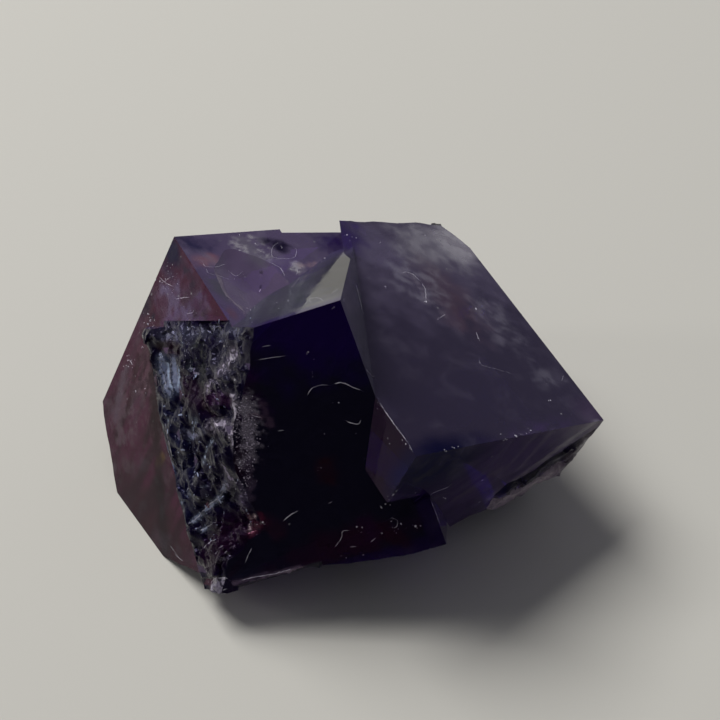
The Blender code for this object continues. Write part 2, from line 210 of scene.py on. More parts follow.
# colour laid on the broken band in strokes: colour, half width in mm, how grainy, points in mm
bandStrokes = (
    ((0.055, 0.048, 0.095), 2.4, 0.3, (-9.5, 28.5, -10), (-9.4, 25, -6.5), (-9.4, 22, -5), (-9.4, 20, -3)),
    ((0.045, 0.04, 0.075), 2.2, 0.4, (-9.4, 24.5, -9), (-9.6, 21.5, -9), (-9.6, 19.5, -6)),
    ((0.01, 0.01, 0.05), 2, 0.3, (-9.6, 23, -17), (-9.8, 19, -19), (-9.6, 15, -23)),
    ((0.03, 0.008, 0.035), 1.6, 0.3, (-9.8, 18.6, -10.4), (-9.8, 21.5, -12), (-9.8, 23, -13)),
    ((0.028, 0.006, 0.03), 1.8, 0.3, (-9.6, 8.6, -24), (-9.2, 8.6, -20), (-8.6, 7.6, -18)),
    ((0.11, 0.11, 0.18), 0.8, 0.3, (-9.5, 29.1, -11.9), (-9.1, 26.6, -8.2), (-8, 24.3, -6),
     (-9.5, 19.6, -1.3)),
    ((0.16, 0.1, 0.16), 0.35, 0.2, (-9.4, 27.9, -6.8), (-9.4, 25.4, -4.1), (-9.4, 23.3, -2)),
    # painted shade: this dark reddish stroke darkens a recess in the band; the thin line after it is a painted
    # highlight along its rim
    ((0.025, 0.009, 0.022), 0.6, 0, (-9.6, 29.2, -13), (-9.5, 28, -11.6), (-9.4, 26.3, -10.6)),
    ((0.1, 0.06, 0.09), 0.12, 0, (-9.6, 28.1, -12.8), (-9.4, 26.9, -11.7), (-9.5, 25.6, -11)),
    # the streaked pale-blue panel: partly the break's own pale streaks, partly a painted reflection of the
    # light from the left
    ((0.1, 0.12, 0.2), 0.95, 0.25, (-9.6, 27.9, -14.1), (-9.5, 26.9, -15.1), (-9.9, 24.9, -15.3)),
    ((0.12, 0.145, 0.24), 0.7, 0.25, (-9.3, 26.6, -12.8), (-9.5, 25.4, -13.6), (-9.6, 24.1, -14.1)),
    ((0.03, 0.03, 0.1), 0.1, 0, (-9.7, 27.9, -15.6), (-9.7, 26.5, -16.4), (-10, 24.8, -16.1)),
    ((0.05, 0.06, 0.12), 0.1, 0, (-9.3, 26.6, -13.5), (-9.6, 25.4, -14.3), (-9.8, 24.1, -14.8)),
    # painted highlights: the panel's thin bright edges
    ((0.32, 0.4, 0.56), 0.16, 0, (-9.4, 27.3, -13.7), (-9.5, 26.2, -14.6), (-9.8, 24.7, -14.8)),
    ((0.34, 0.42, 0.58), 0.14, 0, (-9.4, 25.8, -12), (-9.5, 24.9, -12.9), (-9.6, 24.2, -14)),
    ((0.45, 0.48, 0.58), 0.12, 0, (-9.7, 29.6, -14.8), (-9.7, 29, -14.3), (-9.6, 28.3, -13.8)),
    ((0.11, 0.15, 0.28), 0.28, 0.4, (-9.4, 28.1, -18), (-9.4, 26.2, -19.2), (-9.4, 23.6, -20.4),
     (-9.7, 20.7, -21.3), (-9.4, 18.8, -22.9)),
    ((0.45, 0.55, 0.72), 0.1, 0.4, (-9.7, 25.7, -17.8), (-9.9, 23.9, -17.8), (-10.1, 22, -18.2)),
    ((0.3, 0.35, 0.45), 0.22, 0.3, (-9.5, 26.4, -9.5), (-9.5, 25.4, -9.7), (-9.6, 24.1, -10.6),
     (-9.5, 22.8, -12.8)),
    ((0.24, 0.27, 0.35), 0.16, 0.3, (-9.4, 24.8, -9.5), (-9.6, 23.4, -10.9), (-9.5, 22.5, -13.2)),
    ((0.045, 0.048, 0.05), 0.9, 0.4, (-9, 24.4, -8), (-9, 23, -9.2), (-9.5, 21.4, -10.1)),
    ((0.44, 0.38, 0.5), 0.6, 0.9, (-9.7, 19.7, -9.5), (-9.7, 19.3, -7.5), (-9.6, 19.1, -5.6),
     (-9.4, 19.1, -3.5)),
    ((0.56, 0.5, 0.6), 0.8, 0.8, (-9.7, 16.3, -7.4), (-10, 14.5, -7.2), (-9.8, 13.6, -8.4),
     (-9.4, 12.3, -10.2), (-9.1, 11.4, -11.3)),
    ((0.44, 0.38, 0.48), 0.7, 0.9, (-9.8, 16.9, -12.6), (-9.8, 15.6, -10.5), (-10.2, 13.5, -9.4),
     (-9.8, 12.6, -10.4)),
    ((0.32, 0.26, 0.38), 0.5, 0.9, (-9.6, 13, -14), (-9.3, 11.6, -14.6), (-9.1, 12.1, -16.9)),
    ((0.16, 0.12, 0.22), 0.7, 0.9, (-9.2, 10.9, -12.5), (-8.7, 9.6, -14.3), (-8.3, 9.4, -16.6)),
    ((0.055, 0.014, 0.07), 0.7, 0.1, (-9.9, 18.6, -10), (-9.9, 17.7, -8.7), (-9.8, 16.6, -8)),
    ((0.05, 0.02, 0.045), 0.6, 0.1, (-9.7, 19.5, -11.4), (-9.7, 17.8, -10.9)),
    ((0.6, 0.56, 0.62), 0.18, 0.3, (-9.4, 19.2, -4.4), (-9.4, 18.6, -4.2)),
    ((0.6, 0.56, 0.62), 0.18, 0.3, (-9.7, 17.6, -5.5), (-9.6, 17, -5.5)),
    ((0.25, 0.3, 0.42), 0.35, 0.7, (-9.7, 20.9, -14.9), (-9.8, 19.1, -13.8), (-9.5, 19, -16.9)),
    ((0.35, 0.4, 0.52), 0.3, 0.7, (-9.7, 15.7, -16.7), (-9.6, 16, -15.4), (-9.7, 15.9, -13.4)),
    ((0.22, 0.22, 0.34), 0.45, 0.8, (-9.9, 20.2, -16.6), (-9.5, 18.7, -15.9), (-10, 17.3, -13.3)),
    ((0.2, 0.24, 0.34), 0.22, 0.4, (-9.9, 15.8, -22.8), (-9.6, 16.1, -22), (-10, 14.9, -19.7),
     (-9.7, 13.7, -18.3)),
    ((0.22, 0.26, 0.38), 0.25, 0.25, (-10, 15.6, -23.2), (-9.7, 15.4, -21.8), (-10, 14.7, -20.1)),
    ((0.17, 0.2, 0.28), 0.34, 0.4, (-9.2, 12, -15.5), (-9.2, 11.9, -17.9), (-9.4, 12.4, -20.3),
     (-9.8, 13, -22.9), (-9.4, 13.7, -25.8)),
    ((0.2, 0.23, 0.31), 0.24, 0.4, (-9.1, 10.3, -20.8), (-9.4, 11.3, -22.5), (-9.7, 11.8, -23.5),
     (-9.9, 12.3, -25.1)),
    ((0.22, 0.16, 0.24), 0.2, 0.2, (-9.8, 9.8, -25.4), (-9.6, 10.1, -24), (-9.4, 9.6, -22.5),
     (-9.2, 8.8, -21.3)),
    ((0.2, 0.17, 0.28), 0.08, 0.2, (-9.8, 8.6, -22.9), (-9.4, 8.2, -21.9), (-8.9, 8.2, -20.8)),
    ((0.22, 0.18, 0.3), 0.08, 0.2, (-9.8, 8.1, -23.3), (-9.5, 7.5, -22), (-9, 7.6, -21.1)),
    ((0.2, 0.17, 0.28), 0.08, 0.2, (-9.8, 7.5, -23.5), (-9.6, 6.9, -22.1), (-9, 6.9, -21.3)),
    ((0.22, 0.05, 0.1), 0.45, 0.5, (-7.8, 8.2, -17.1), (-7.4, 7.2, -17.3), (-7.8, 7, -18.4)),
    ((0.6, 0.45, 0.48), 0.16, 0.5, (-8, 8.4, -16.7), (-7.7, 7.7, -16.4), (-7.8, 7.9, -18.1), (-7.8, 7, -18.6)),
    ((0.95, 0.9, 0.9), 0.14, 0, (-7.3, 6.9, -16.7), (-7.1, 6.7, -16.8)),
    ((0.34, 0.3, 0.38), 0.8, 0.6, (-9.5, 6.6, -26.5), (-9.8, 5.4, -24.9), (-9.3, 5.1, -24.4)),
    ((0.62, 0.57, 0.66), 0.15, 0.3, (-9.7, 6.2, -26.9), (-9.4, 7.2, -26.7), (-9.9, 6.5, -24.9),
     (-9.6, 5.6, -23.8), (-9, 4.9, -24), (-9, 4.6, -24.7)),
    ((0.36, 0.29, 0.37), 1.5, 0.2, (17.5, 0.1, -12), (19.9, 0.2, -11.2), (21.8, 0.3, -10.4), (23.6, 0.3, -9.5),
     (24.9, 0.3, -7.9)),
    ((0.13, 0.09, 0.14), 1.3, 0.2, (25.2, 0.3, -7.4), (26.2, 0.3, -5.6), (26.9, 0.1, -2.9)),
    ((0.6, 0.52, 0.58), 0.4, 0.3, (18, 0.1, -11.6), (19.9, 0.2, -11.2), (21.8, 0.3, -10.4), (23.6, 0.3, -9.5),
     (24.7, 0.3, -8.2)),
    ((0.2, 0.13, 0.21), 0.35, 0.2, (-8.7, 4.8, -23.7), (-7.3, 4, -22.5), (-5.6, 3.1, -21.2),
     (-3.9, 2.2, -19.3)),
    ((0.38, 0.3, 0.42), 0.08, 0.2, (-8.6, 4.8, -23.6), (-7.1, 4, -22.1), (-5.4, 3.1, -20.6),
     (-3.8, 2.4, -18.9)),
)


def lookOf(face):
    centre = face.center / mm
    for name, (cube, axis, at, _) in faceLooks.items():
        box = cubeFrames[cube]
        if abs(face.normal.dot(box.to_3x3().col[axis])) > lineUp["named"]:
            if abs((box.inverted() @ centre)[axis] - at) < lineUp["place"]:
                return name
    for box in cubeFrames.values():
        if max(abs(face.normal.dot(axis)) for axis in box.to_3x3().col) > lineUp["unnamed"]:
            return "flat"
    if face.normal.z < lineUp["underside"]:
        return "flat"
    place = toHost @ centre
    if inReach(place, shell["middle"], shell["reach"]) < 1.0 and face.normal.z > shell["upward"]:
        return "shell"
    return "broken"


def inReach(place, middle, reach):
    return sum(((a - b) / c) ** 2 for a, b, c in zip(place, middle, reach)) ** 0.5


def cutLongEdges(crystal):
    fineLooks = {lookNames.index(name): grain["edges"][name] for name in grain["edges"]}
    for turn in range(grain["cuts"]):
        mesh = crystal.data
        looks = mesh.attributes["look"].data
        long = set()
        for face in mesh.polygons:
            limit = fineLooks.get(looks[face.index].value)
            if limit is None:
                continue
            if inReach(toHost @ (face.center / mm), grain["bandMiddle"], grain["bandReach"]) < 1.0:
                limit = min(limit, grain["bandEdge"])
            limit *= mm
            for corner in face.loop_indices:
                edge = mesh.edges[mesh.loops[corner].edge_index]
                first, last = (mesh.vertices[point].co for point in edge.vertices)
                if (first - last).length > limit:
                    long.add(edge.index)
        if not long:
            break
        for vertex in mesh.vertices:
            vertex.select = False
        for face in mesh.polygons:
            face.select = False
        for edge in mesh.edges:
            edge.select = edge.index in long
        bpy.ops.object.mode_set(mode="EDIT")
        bpy.ops.mesh.select_mode(type="EDGE")
        bpy.ops.mesh.subdivide(number_cuts=1)
        bpy.ops.mesh.select_all(action="SELECT")
        bpy.ops.mesh.quads_convert_to_tris()
        bpy.ops.object.mode_set(mode="OBJECT")


def chipRelief(place):
    wander, swell = grain["wander"], grain["swell"]
    spot = place * wander["size"]
    sway = Vector((noise.noise(spot), noise.noise(spot + Vector((5.0, 0.0, 0.0))), 0.0)) * wander["reach"]
    lift = swell["height"] * noise.noise(place * swell["size"])
    for cell, slope, dish in grain["chips"]:
        spot = (place + sway) / cell
        planes = []
        for away, centre in zip(*noise.voronoi(spot)):
            lean = noise.cell_vector(centre * 5.0 + Vector((3.0, 7.0, 11.0))) - Vector((0.5, 0.5, 0.5))
            planes.append(slope * 2.0 * lean.dot(spot - centre) - dish * away ** 2)
        lift += cell * max(planes)
    return lift


def roughen(crystal):
    mesh = crystal.data
    looks = mesh.attributes["look"].data
    still = set()
    for face in mesh.polygons:
        if looks[face.index].value != lookNames.index("broken"):
            still.update(face.vertices)
    fixed = kdtree.KDTree(len(still))
    for index in still:
        fixed.insert(mesh.vertices[index].co, index)
    fixed.balance()
    moves = {}
    for vertex in mesh.vertices:
        if vertex.index not in still:
            ease = min(1.0, fixed.find(vertex.co)[2] / mm / grain["easeIn"])
            place = toHost @ (vertex.co / mm)
            panel = max(0.0, 1.0 - inReach(place, ribbedPanel["middle"], ribbedPanel["reach"]) ** 4)
            along = Vector((place.x * 0.4, place.y * 1.1, place.y * 0.9 + place.z * 1.6))
            rib = ribbedPanel["ribs"] * noise.noise(along * ribbedPanel["size"])
            lift = chipRelief(place) * (1.0 - ribbedPanel["hush"] * panel) + rib * panel
            moves[vertex.index] = vertex.normal * lift * ease * mm
    for index, move in moves.items():
        mesh.vertices[index].co += move
    mesh.update()


# how a stroke fades at its edge, the noise that breaks it up, and where the break takes the opaque frost
# finish, which also carries the band's painted highlights
strokeLook = {
    "reach": 16.0, "full": 1.6, "fall": 1.1,
    "clumps": ((2.3, 0.6), (5.1, 0.8)),      # scale per mm and weight
    "gap": 0.55, "contrast": 1.5,
    "cover": 1.6, "opaqueFrom": 0.55,
}


def strokeMask(place, halfWidth, points):
    best = 9.0
    for first, last in zip(points, points[1:]):
        along = last - first
        share = max(0.0, min(1.0, (place - first).dot(along) / max(along.length_squared, 1e-9)))
        best = min(best, (place - first - along * share).length)
    return max(0.0, min(1.0, strokeLook["full"] - strokeLook["fall"] * best / halfWidth))


def paintBroken(place):
    colour = Vector(otherLooks["broken"][:3])
    cover = 0.0
    for tint, halfWidth, grainy, points in bandPaint:
        if (place - points[0]).length > strokeLook["reach"]:
            continue
        mask = strokeMask(place, halfWidth, points)
        if mask <= 0.0:
            continue
        clump = sum(noise.noise(place * scale) * weight for scale, weight in strokeLook["clumps"])
        mask *= max(0.0, min(1.0, 1.0 - grainy * (strokeLook["gap"] - strokeLook["contrast"] * clump)))
        colour = colour.lerp(Vector(tint), mask)
        cover = max(cover, mask * min(1.0, sum(tint) * strokeLook["cover"]))
    return colour, cover


bandPaint = [(tint, halfWidth, grainy, [Vector(point) for point in points])
             for tint, halfWidth, grainy, *points in bandStrokes]


# the clouds that break the patches up: turn, stretch, scale per mm, detail
cloudKinds = {
    "edge": ((0, 0, 0), (1, 1, 1), 0.45, 3),
    "soft": ((0, 0, 0), (1, 1, 1), 0.7, 4),
    "fine": ((0, 0, 0), (1, 1, 1), 1.4, 3),
    "down": ((0, 0, 0), (1, 1, 0.10), 0.8, 3),
    "slant": ((0, 0.763, 0), (0.08, 1, 1), 0.8, 3),
}
cloudLook = {"fade": 0.7, "halving": 2.0, "spread": 0.11, "ragged": 3.0, "wisps": (0.42, 0.62),
             "patchEdge": (1.0, 0.25), "pathEdge": (1.15, 0.2)}

# patches of colour in the crystal, for all of a cube or one face, some of them painted light as marked: middle
# and reach in mm along its edges, colour, strength, how ragged, how wispy, and the cloud that breaks them up if
# not "soft"
patches = {
    "host": (
        ((19, 28, 0), (20, 17, 9), (0.2, 0.16, 0.28), 0.85, 0.3, 0.15),
        ((13.6, 28.4, 0), (4.5, 5, 4), (0.28, 0.23, 0.4), 0.8, 0.3, 0.3),
        ((21.5, 28.5, 0), (7.5, 5.5, 5), (0.62, 0.58, 0.68), 0.9, 0.3, 0.5),
        ((25, 28, 0), (3.4, 5, 5), (0.95, 0.9, 1), 0.9, 0.2, 0.2),
        ((18.5, 20, 0), (4, 8, 4), (0.17, 0.08, 0.12), 0.6, 0.4, 0.3),
        ((16, 22.5, 0), (4.5, 5.5, 3), (0.52, 0.48, 0.62), 0.6, 0.5, 1),
        ((23.5, 6.8, 0), (3.2, 2.2, 2), (0.5, 0.46, 0.6), 0.4, 0.4, 0.8),
        ((22.5, 16, 0), (3.5, 6, 3), (0.4, 0.36, 0.48), 0.6, 0.5, 0.9),
        ((26.2, 1, 0), (3.5, 3, 2), (0.13, 0.08, 0.18), 0.8, 0.2, 0),
        ((10.2, 31.3, 0), (3.8, 4.4, 4), (0.065, 0.03, 0.2), 0.95, 0.3, 0),
        ((-9.4, 28.5, -7.5), (3, 7, 6), (0.36, 0.26, 0.53), 0.9, 0.4, 0.8),
        ((-9.4, 27, -5.2), (3, 3.5, 2.2), (0.11, 0.06, 0.15), 0.85, 0.5, 0.7, "fine"),
        ((-9.4, 33.6, -3.6), (3, 2.3, 3.2), (0.01, 0.003, 0.07), 1, 0.35, 0),
        ((-9.4, 30.4, -3.2), (3, 2.6, 0.9), (0.04, 0.02, 0.07), 0.9, 0.5, 0.7, "fine"),
        ((-9.4, 34.2, -11.6), (3, 1.4, 3), (0.035, 0.008, 0.05), 1, 0.4, 0),
        ((-9.4, 32.4, -11.6), (3, 0.7, 1.1), (0.01, 0.003, 0.04), 1, 0.5, 0),
        ((-9.4, 26.6, -5.6), (3, 1, 0.8), (0.03, 0.015, 0.05), 0.9, 0.5, 0.6, "fine"),
        ((-9.4, 25.1, -4.4), (3, 0.9, 0.7), (0.03, 0.015, 0.05), 0.9, 0.5, 0.6, "fine"),
        ((-9.4, 28.8, -3.6), (3, 0.8, 0.8), (0.04, 0.02, 0.07), 0.9, 0.5, 0.6, "fine"),
        # painted warm reflection: the red and orange patches low on the left side stand for warm reflected
        # light, not the crystal's own colour
        ((-9.4, 30, -17), (3, 5, 5), (0.16, 0.06, 0.11), 0.8, 0.4, 0.6, "down"),
        ((-9.4, 17, -32), (3, 16, 9), (0.05, 0.006, 0.02), 0.9, 0.3, 0),
        ((-9.4, 24, -22.5), (3, 3.5, 9), (0.035, 0.002, 0.015), 0.9, 0.3, 0.9, "down"),
        ((-9.4, 22, -25), (3, 22, 30), (0.04, 0.002, 0.02), 0.9, 0.1, 1, "down"),
        ((-9.4, 30, -27), (3, 5, 8), (0.2, 0.12, 0.17), 0.7, 0.5, 1),
        ((-9.4, 26, -15), (3, 12, 14), (0.3, 0.14, 0.2), 0.45, 0.3, 1, "fine"),
        ((-9.4, 22, -23.8), (1.5, 0.9, 1.7), (0.36, 0.2, 0.02), 0.8, 0.4, 0.3),
        ((16, 0, -7), (16, 3, 12), (0.14, 0.08, 0.27), 0.7, 0.2, 0.9, "slant"),
        ((4, 0, -2.2), (9.5, 3, 7), (0.002, 0.001, 0.06), 1, 0.12, 0),
    ),
    "leftTop": (
        ((-7.2, 33, -1.8), (3, 1.8, 2), (0.06, 0.05, 0.16), 0.95, 0.4, 0.5),
        ((-7.6, 30.6, -1.8), (2.6, 1.4, 2), (0.55, 0.26, 0.36), 0.9, 0.5, 0.6),
        ((-7.6, 26.4, -1.8), (2.6, 2.6, 2), (0.2, 0.19, 0.24), 0.85, 0.4, 0.2),
        ((-0.8, 31.8, -1.8), (3.6, 2.6, 2), (0.85, 0.78, 0.9), 0.95, 0.6, 1, "fine"),
        ((3, 31.6, -1.8), (1.6, 1.3, 2), (0.02, 0.008, 0.06), 1, 0.5, 0.2),
        ((1.6, 33, -1.8), (1.4, 0.9, 2), (0.02, 0.008, 0.06), 1, 0.5, 0.2),
        ((3.2, 28.2, -1.8), (1.4, 1.4, 2), (0.95, 0.88, 1), 0.95, 0.6, 0.8, "fine"),
        ((6.2, 28.6, -1.8), (2.8, 0.9, 2), (0.75, 0.5, 0.62), 0.9, 0.6, 0.7, "fine"),
        ((-8.4, 22.8, -1.8), (0.9, 1.3, 1), (0.36, 0.16, 0.22), 0.7, 0.2, 0.3),
    ),
    "centreTop": (
        # painted reflection: the greys and near-black on the centre top stand for what its shiny top reflects
        ((0, -5.5, 7), (3, 8.5, 13), (0.13, 0.14, 0.16), 0.9, 0.3, 0.1),
        ((0, -1, 11), (3, 4.5, 12), (0.012, 0.012, 0.014), 0.95, 0.2, 0),
        ((0, -2.6, 1), (3, 3.6, 1.5), (0.3, 0.3, 0.3), 0.8, 0.3, 0.3, "fine"),
        ((0, -8, 2), (3, 3, 2), (0.08, 0.08, 0.12), 0.7, 0.5, 0.5, "fine"),
    ),
    "twin": (
        ((-1, -2, 0), (9, 12, 2), (0.032, 0.009, 0.15), 0.95, 0.25, 0),
        ((-6.5, -13.5, 0), (3.5, 3.5, 2), (0.05, 0.012, 0.09), 0.8, 0.5, 0.4),
        ((-16.7, -7.2, 0), (1.7, 1.7, 2), (0.07, 0.012, 0.02), 0.7, 0.6, 0.5),
        ((-25, -8, 0), (2.6, 9, 2), (0.05, 0.012, 0.04), 0.9, 0.4, 0.1),
        ((-21, -14.6, 0), (2, 2, 2), (0.1, 0.02, 0.05), 0.7, 0.6, 0.6),
    ),
}


# runs of colour, for each cube, mostly inside and some painted light as marked: both ends in mm, half width,
# colour, strength, how wispy
pathsInside = {
    "host": (
        # painted warm reflection: dark red runs low on the left side
        ((-9.4, 29.5, -15.5), (-9.4, 24.5, -22), 1.2, (0.03, 0.002, 0.012), 0.8, 0.5),
        ((-9.4, 26.5, -19), (-9.4, 19.3, -27.3), 1.3, (0.03, 0.002, 0.012), 0.9, 0.4),
        ((-9.4, 20.5, -26), (-9.4, 14.9, -31.6), 1.5, (0.02, 0.001, 0.012), 0.9, 0.4),
        ((-9.4, 32, -17.5), (-9.4, 30, -24), 0.7, (0.05, 0.004, 0.02), 0.7, 0.6),
        ((-9.4, 33, -21), (-9.4, 31.5, -27), 0.8, (0.24, 0.17, 0.24), 0.6, 0.7),
        ((25.7, 0, -0.1), (23.5, 0, -2.3), 0.5, (0.55, 0.5, 0.62), 0.8, 0.4),
        ((23.5, 0, -2.3), (20.9, 0, -5.6), 0.6, (0.62, 0.55, 0.66), 0.8, 0.5),
        ((20.9, 0, -5.6), (16.3, 0, -10.7), 0.6, (0.45, 0.38, 0.5), 0.7, 0.5),
        ((19, 0, -0.4), (18, 0, -5.9), 0.5, (0.26, 0.2, 0.34), 0.6, 0.6),
        ((16.7, 0, -0.5), (15.6, 0, -5.7), 0.4, (0.22, 0.16, 0.3), 0.6, 0.6),
        ((13.4, 0, -0.6), (11.9, 0, -6.1), 0.4, (0.16, 0.12, 0.24), 0.5, 0.6),
        ((14.7, 0, -5.5), (10.6, 0, -9.4), 0.6, (0.18, 0.12, 0.22), 0.6, 0.6),
        ((5.7, -0.3, -7.3), (8.3, 0, -6.5), 0.12, (0.45, 0.4, 0.52), 0.6, 0.3),
        ((26.1, 0, -2), (26.8, 0.3, -6.1), 0.6, (0.5, 0.42, 0.46), 0.6, 0.5),
        ((22.8, 30.5, 0), (26.7, 27, 0), 0.9, (0.55, 0.5, 0.6), 0.6, 0.8),
        ((14.2, 24.4, 0), (15.8, 24, 0), 0.22, (0.42, 0.36, 0.48), 0.7, 0.7),
        ((15.8, 24, 0), (15.1, 20.1, 0), 0.22, (0.42, 0.36, 0.48), 0.7, 0.7),
        ((-1.5, 33.5, -1.8), (-0.7, 29.8, -1.9), 0.9, (0.4, 0.36, 0.46), 0.6, 0.8),
        ((0.7, 26.6, -1.8), (0, 24.8, -0.9), 0.1, (0.45, 0.4, 0.5), 0.7, 0.3),
        ((0, 24.8, -0.9), (2.5, 26.8, -1.7), 0.1, (0.45, 0.4, 0.5), 0.7, 0.3),
        ((-9.8, 15.4, -6), (-9.4, 13.9, -6.9), 1.2, (0.5, 0.44, 0.54), 0.9, 1),
        ((-9.4, 13.9, -6.9), (-9.1, 12.8, -8.5), 1.2, (0.5, 0.44, 0.54), 0.9, 1),
        ((-9.1, 12.8, -8.5), (-8.9, 11.8, -10.1), 1.1, (0.44, 0.38, 0.48), 0.9, 1),
        ((-8.9, 11.8, -10.1), (-9.1, 11.4, -11.5), 1.1, (0.44, 0.38, 0.48), 0.9, 1),
        ((-8.9, 11.1, -11.6), (-8.5, 9.7, -13.7), 0.6, (0.14, 0.1, 0.17), 0.8, 0.9),
        ((-8.5, 9.7, -13.7), (-8.3, 9, -16.2), 0.6, (0.14, 0.1, 0.17), 0.8, 0.9),
        ((-9.1, 13.6, -7.1), (-8.2, 12.8, -6.8), 0.3, (0.25, 0.16, 0.24), 0.7, 0.9),
        ((-8.3, 13.5, -5.6), (-7.6, 12, -7.1), 0.5, (0.2, 0.12, 0.2), 0.6, 0.9),
        ((-7.9, 8.1, -16.7), (-7.3, 7.2, -16.3), 0.5, (0.16, 0.03, 0.07), 0.9, 0.7),
        ((-7.3, 7.2, -16.3), (-7.4, 6.8, -17.8), 0.5, (0.16, 0.03, 0.07), 0.9, 0.7),
        ((1.8, 0.1, -12.2), (3.9, -1.9, -12.3), 1.2, (0.05, 0.012, 0.03), 0.8, 0.6),
        ((0.5, 1.5, -11.9), (1.2, 0.2, -13), 1, (0.05, 0.012, 0.06), 0.8, 0.6),
    ),
    "twin": (
        ((-25.7, -20.9, 0), (-26, -13.6, 0), 0.28, (0.32, 0.22, 0.34), 0.9, 0.3),
    ),
}

cubePlaces = {}      # each point's place along each cube's edges, in mm


def listed(table):
    return [(area, *values) for area, rows in table.items() for values in rows]


def smoothStep(values, low, high):
    share = np.clip((values - low) / (high - low), 0.0, 1.0)
    return share * share * (3.0 - 2.0 * share)


def cloudValues(places, kind):
    turn, stretch, size, octaves = cloudKinds[kind]
    turned = Matrix.Diagonal(stretch).to_3x3() @ Euler(turn).to_matrix() * size
    fade, halving = cloudLook["fade"], cloudLook["halving"]
    values = np.array([noise.fractal(turned @ Vector(place), fade, halving, octaves) for place in places])
    return 0.5 + cloudLook["spread"] * (values - values.mean()) / values.std()


# the colour of the flat faces: each look's own, with the patches and strokes laid over it
def paintFlats(points, looks):
    colours = lookColours[looks][:, :3]
    used, where = np.unique(points, return_inverse=True)
    flat = cubePlaces["host"][used]
    clouds = {kind: cloudValues(flat, kind) for kind in cloudKinds}
    rag = cloudLook["ragged"]
    for area, middle, reach, tint, strength, ragged, wisps, *kind in listed(patches):
        cube = faceLooks[area][0] if area in faceLooks else area
        away = np.linalg.norm((cubePlaces[cube][used] - middle) / reach, axis=1)
        mask = smoothStep(away + rag * ragged * (clouds["edge"] - 0.5), *cloudLook["patchEdge"]) * strength
        mask *= 1.0 - wisps + wisps * smoothStep(clouds[(*kind, "soft")[0]], *cloudLook["wisps"])
        mask = mask[where] * (looks == lookNames.index(area) if area in faceLooks else 1.0)
        colours += (np.array(tint) - colours) * mask[:, None]
    for cube, first, last, halfWidth, tint, strength, wisps in listed(pathsInside):
        away, run = cubePlaces[cube][used] - first, np.subtract(last, first)
        away = away - np.clip(away @ run / (run @ run), 0.0, 1.0)[:, None] * run
        far = np.linalg.norm(away, axis=1) / halfWidth + rag * wisps * (clouds["fine"] - 0.5)
        mask = smoothStep(far, *cloudLook["pathEdge"]) * strength
        colours += (np.array(tint) - colours) * mask[where][:, None]
    return colours


def paintCrystal(crystal):
    mesh = crystal.data
    broken, curved = lookNames.index("broken"), lookNames.index("shell")
    looks = np.empty(len(mesh.polygons), np.int32)
    mesh.attributes["look"].data.foreach_get("value", looks)
    mesh.polygons.foreach_set("use_smooth", np.isin(looks, (broken, curved)))
    spots = np.empty(3 * len(mesh.vertices))
    mesh.vertices.foreach_get("co", spots)
    spots = np.c_[spots.reshape(-1, 3) / mm, np.ones(len(mesh.vertices))]
    for cube, box in cubeFrames.items():
        cubePlaces[cube] = spots @ np.array(box.inverted()).T[:, :3]
    counts = np.empty(len(mesh.polygons), np.int32)
    mesh.polygons.foreach_get("loop_total", counts)
    cornerLooks = np.repeat(looks, counts)
    points = np.empty(len(mesh.loops), np.int32)
    mesh.loops.foreach_get("vertex_index", points)
    colours = np.ones((len(points), 4))
    flat = cornerLooks != broken
    colours[flat, :3] = paintFlats(points[flat], cornerLooks[flat])
    cover = np.zeros(len(points))
    rough = np.unique(points[~flat])
    painted = {point: paintBroken(Vector(cubePlaces["host"][point])) for point in rough}
    for corner in np.nonzero(~flat)[0]:
        colours[corner, :3], cover[corner] = painted[points[corner]]
    mesh.attributes.new("ground", "FLOAT_COLOR", "CORNER").data.foreach_set("color", colours.ravel())
    mesh.attributes.new("rough", "FLOAT", "FACE").data.foreach_set("value", (looks == broken).astype(float))
    mesh.attributes.new("veil", "FLOAT", "FACE").data.foreach_set("value", lookColours[looks, 3])
    opaque = np.bincount(np.repeat(np.arange(len(looks)), counts), cover) / counts > strokeLook["opaqueFrom"]
    mesh.polygons.foreach_set("material_index", opaque.astype(np.int32))
    print("broken points", len(rough), "frosted faces", int(opaque.sum()))


def makeCrystal():
    crystal = bpy.data.objects.new("crystal", cadCrystal.data.copy())
    bpy.context.scene.collection.objects.link(crystal)
    makeActive(crystal)
    crystal.data.materials.clear()
    bpy.ops.object.mode_set(mode="EDIT")
    bpy.ops.mesh.select_mode(type="FACE")
    bpy.ops.mesh.select_all(action="SELECT")
    bpy.ops.mesh.remove_doubles(threshold=0.0000002)
    bpy.ops.object.mode_set(mode="OBJECT")
    names = [lookOf(face) for face in crystal.data.polygons]
    looks = crystal.data.attributes.new("look", "INT", "FACE")
    for index, name in enumerate(names):
        looks.data[index].value = lookNames.index(name)
    cutLongEdges(crystal)
    roughen(crystal)
    makeActive(crystal)
    bpy.ops.object.shade_smooth_by_angle(angle=math.radians(grain["smoothAngle"]))
    return crystal


def addNoise(tree, place, scale, detail, **inputs):
    return addNode(tree, "TexNoise", {"Vector": place, "Scale": scale, "Detail": detail, **inputs})


# dust: a dot in some of the pattern's cells
def addDust(tree, place, spacing, size, share):
    cells = addNode(tree, "TexVoronoi", {"Vector": place, "Scale": 1.0 / spacing})
    split = addNode(tree, "SeparateColor", {0: cells.outputs["Color"]})
    size = addMath(tree, "MULTIPLY", size, split.outputs["Green"])
    inside = addMath(tree, "LESS_THAN", cells.outputs["Distance"], size)
    return addMath(tree, "MULTIPLY", inside, addMath(tree, "LESS_THAN", split.outputs["Red"], share))


# hairlines: long thin cells, turned and gently bent
hairShape = {"bend": (0.2, 1.6), "length": (0.07, 1.0, 1.0), "width": (0.035, 0.012)}


